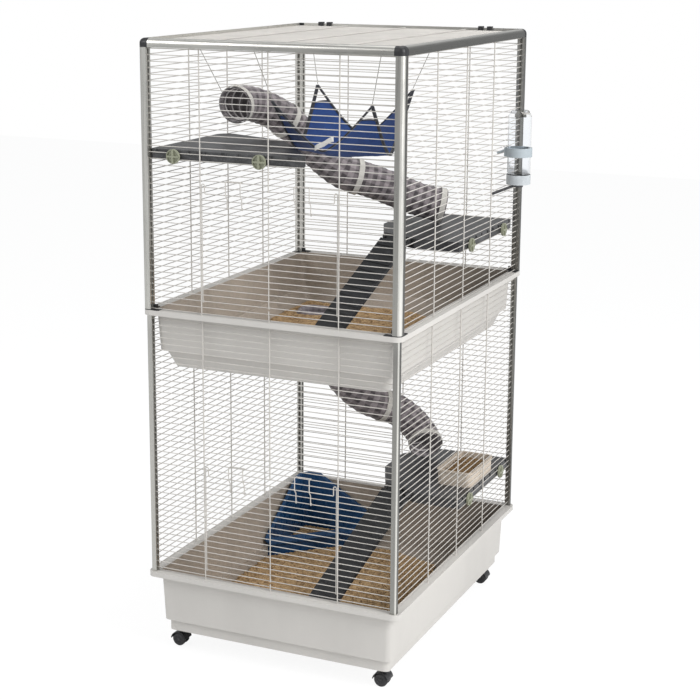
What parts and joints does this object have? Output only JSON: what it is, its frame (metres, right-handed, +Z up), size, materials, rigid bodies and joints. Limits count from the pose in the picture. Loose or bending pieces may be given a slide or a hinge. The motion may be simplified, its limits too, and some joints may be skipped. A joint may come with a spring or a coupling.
{
  "type": "ferret cage",
  "caption": "Tall two-storey wire pet cage on castors, with drop-down doors, deep trays, shelves, ramps, a hammock, cloth tunnels, a bottle, a trough and a corner toilet.",
  "frame": {"origin": "floor level, in the middle of the outline seen from above", "axes": "+X to the right seen from the door side, +Y to the back, +Z up; doors face -Y"},
  "size_m": [0.777, 0.904, 1.605],
  "materials": {
    "tray": "light grey moulded plastic, fine grain",
    "aluminium": "satin drawn aluminium",
    "black": "black plastic",
    "wire": "light powder-coated steel wire",
    "shelf": "dark grey moulded plastic",
    "knob": "grey-green plastic",
    "ramp": "near-black ribbed plastic",
    "tunnel_cloth": "crinkled grey-brown check cloth",
    "band_cloth": "light binding tape",
    "hammock_cloth": "royal blue cloth, dark binding",
    "cord": "thin light cord wire",
    "bottle": "clear plastic bottle",
    "cap": "pale grey plastic, dark spout",
    "trough": "beige plastic",
    "toilet": "dark blue plastic",
    "castor_rubber": "black tread"
  },
  "bodies": {
    "cage": {"base_tray": "tray", "middle_tray": "tray", "lower_posts": "aluminium", "upper_post_front_left": "aluminium", "upper_post_front_right": "aluminium", "upper_post_rear_left": "aluminium", "upper_post_rear_right": "aluminium", "front_rear_rails": "aluminium", "side_rails": "aluminium", "corner_caps": "black", "corner_plates": "black", "lower_wall_front": "wire", "lower_wall_rear": "wire", "lower_wall_left": "wire", "lower_wall_right": "wire", "upper_wall_front": "wire", "upper_wall_rear": "wire", "upper_wall_left": "wire", "upper_wall_right": "wire", "roof_hinge_clips": "black", "upper_left_shelf": "shelf", "upper_right_shelf": "shelf", "lower_shelf": "shelf", "upper_tunnel": "tunnel_cloth", "upper_tunnel_bands": "band_cloth", "lower_tunnel": "tunnel_cloth", "lower_tunnel_bands": "band_cloth", "tunnel_hanger": "wire"},
    "roof": {"roof_grille": "wire", "hammock": "hammock_cloth", "hammock_cords": "cord"},
    "lower_door": {"lower_door": "wire"},
    "lower_door_latch_left": {"lower_door_latch_left": "wire"},
    "lower_door_latch_right": {"lower_door_latch_right": "wire"},
    "upper_door": {"upper_door": "wire"},
    "upper_door_latch_left": {"upper_door_latch_left": "wire"},
    "upper_door_latch_right": {"upper_door_latch_right": "wire"},
    "upper_ramp": {"upper_ramp": "ramp"},
    "lower_ramp": {"lower_ramp": "ramp"},
    "bottle": {"bottle_body": "bottle", "bottle_spout_cap": "cap", "bottle_clip": "cap"},
    "food_trough": {"food_trough": "trough"},
    "corner_toilet": {"corner_toilet": "toilet"},
    "upper_left_knob_a": {"upper_left_knob_a": "knob"},
    "upper_left_knob_b": {"upper_left_knob_b": "knob"},
    "upper_right_knob_a": {"upper_right_knob_a": "knob"},
    "upper_right_knob_b": {"upper_right_knob_b": "knob"},
    "lower_knob_a": {"lower_knob_a": "knob"},
    "lower_knob_b": {"lower_knob_b": "knob"},
    "castor_fork_front_left": {"castor_fork_front_left": "black"},
    "castor_wheels_front_left": {"castor_wheels_front_left": "castor_rubber"},
    "castor_fork_front_right": {"castor_fork_front_right": "black"},
    "castor_wheels_front_right": {"castor_wheels_front_right": "castor_rubber"},
    "castor_fork_rear_left": {"castor_fork_rear_left": "black"},
    "castor_wheels_rear_left": {"castor_wheels_rear_left": "castor_rubber"},
    "castor_fork_rear_right": {"castor_fork_rear_right": "black"},
    "castor_wheels_rear_right": {"castor_wheels_rear_right": "castor_rubber"}
  },
  "joints": [
    {"name": "upper_door_hinge", "type": "hinge", "parent": "cage", "child": "upper_door", "pos_m": [-0.0365, -0.439, 0.9602], "axis": [1, 0, 0], "range_deg": [0, 120]},
    {"name": "lower_door_hinge", "type": "hinge", "parent": "cage", "child": "lower_door", "pos_m": [-0.0365, -0.4365, 0.2528], "axis": [1, 0, 0], "range_deg": [0, 120]},
    {"name": "upper_latch_left_hinge", "type": "hinge", "parent": "upper_door", "child": "upper_door_latch_left", "pos_m": [-0.1285, -0.43906, 1.1972], "axis": [1, 0, 0], "range_deg": [0, 35]},
    {"name": "lower_latch_left_hinge", "type": "hinge", "parent": "lower_door", "child": "lower_door_latch_left", "pos_m": [-0.1285, -0.43656, 0.474], "axis": [1, 0, 0], "range_deg": [0, 35]},
    {"name": "upper_latch_right_hinge", "type": "hinge", "parent": "upper_door", "child": "upper_door_latch_right", "pos_m": [0.0555, -0.43906, 1.1972], "axis": [1, 0, 0], "range_deg": [0, 35]},
    {"name": "lower_latch_right_hinge", "type": "hinge", "parent": "lower_door", "child": "lower_door_latch_right", "pos_m": [0.0555, -0.43656, 0.474], "axis": [1, 0, 0], "range_deg": [0, 35]},
    {"name": "roof_hinge", "type": "hinge", "parent": "cage", "child": "roof", "pos_m": [-0.0365, 0.4314, 1.5906], "axis": [-1, 0, 0], "range_deg": [0, 90]},
    {"name": "upper_ramp_hinge", "type": "hinge", "parent": "cage", "child": "upper_ramp", "pos_m": [0.11188, 0.00622, 1.0709], "axis": [-0.8829, 0.4695, 0], "range_deg": [0, 60]},
    {"name": "lower_ramp_hinge", "type": "hinge", "parent": "cage", "child": "lower_ramp", "pos_m": [0.10938, 0.04322, 0.3635], "axis": [-0.8829, 0.4695, 0], "range_deg": [0, 60]},
    {"name": "upper_left_knob_a_turn", "type": "hinge", "parent": "cage", "child": "upper_left_knob_a", "pos_m": [-0.2965, -0.439, 1.3157], "axis": [0, 1, 0], "range_deg": [0, 90]},
    {"name": "upper_left_knob_b_turn", "type": "hinge", "parent": "cage", "child": "upper_left_knob_b", "pos_m": [-0.0605, -0.439, 1.3157], "axis": [0, 1, 0], "range_deg": [0, 90]},
    {"name": "upper_right_knob_a_turn", "type": "hinge", "parent": "cage", "child": "upper_right_knob_a", "pos_m": [0.3025, 0.05, 1.0629], "axis": [-1, 0, 0], "range_deg": [0, 90]},
    {"name": "upper_right_knob_b_turn", "type": "hinge", "parent": "cage", "child": "upper_right_knob_b", "pos_m": [0.3025, 0.31, 1.0629], "axis": [-1, 0, 0], "range_deg": [0, 90]},
    {"name": "lower_knob_a_turn", "type": "hinge", "parent": "cage", "child": "lower_knob_a", "pos_m": [0.3, 0.087, 0.3555], "axis": [-1, 0, 0], "range_deg": [0, 90]},
    {"name": "lower_knob_b_turn", "type": "hinge", "parent": "cage", "child": "lower_knob_b", "pos_m": [0.3, 0.347, 0.3555], "axis": [-1, 0, 0], "range_deg": [0, 90]},
    {"name": "castor_swivel_front_left", "type": "hinge", "parent": "cage", "child": "castor_fork_front_left", "pos_m": [-0.3275, -0.372, 0.048], "axis": [0, 0, 1], "continuous": true},
    {"name": "castor_roll_front_left", "type": "hinge", "parent": "castor_fork_front_left", "child": "castor_wheels_front_left", "pos_m": [-0.3365, -0.372, 0.018], "axis": [0, 1, 0], "continuous": true},
    {"name": "castor_swivel_front_right", "type": "hinge", "parent": "cage", "child": "castor_fork_front_right", "pos_m": [0.2545, -0.372, 0.048], "axis": [0, 0, 1], "continuous": true},
    {"name": "castor_roll_front_right", "type": "hinge", "parent": "castor_fork_front_right", "child": "castor_wheels_front_right", "pos_m": [0.2455, -0.372, 0.018], "axis": [0, 1, 0], "continuous": true},
    {"name": "castor_swivel_rear_left", "type": "hinge", "parent": "cage", "child": "castor_fork_rear_left", "pos_m": [-0.3275, 0.372, 0.048], "axis": [0, 0, 1], "continuous": true},
    {"name": "castor_roll_rear_left", "type": "hinge", "parent": "castor_fork_rear_left", "child": "castor_wheels_rear_left", "pos_m": [-0.3365, 0.372, 0.018], "axis": [0, 1, 0], "continuous": true},
    {"name": "castor_swivel_rear_right", "type": "hinge", "parent": "cage", "child": "castor_fork_rear_right", "pos_m": [0.2545, 0.372, 0.048], "axis": [0, 0, 1], "continuous": true},
    {"name": "castor_roll_rear_right", "type": "hinge", "parent": "castor_fork_rear_right", "child": "castor_wheels_rear_right", "pos_m": [0.2455, 0.372, 0.018], "axis": [0, 1, 0], "continuous": true},
    {"name": "bottle_lift", "type": "slide", "parent": "cage", "child": "bottle", "axis": [0.9205, 0, 0.3907], "range_m": [0, 0.08]},
    {"name": "trough_lift", "type": "slide", "parent": "cage", "child": "food_trough", "axis": [0, 0, 1], "range_m": [0, 0.09]},
    {"name": "toilet_lift", "type": "slide", "parent": "cage", "child": "corner_toilet", "axis": [0, 0, 1], "range_m": [0, 0.1]}
  ]
}
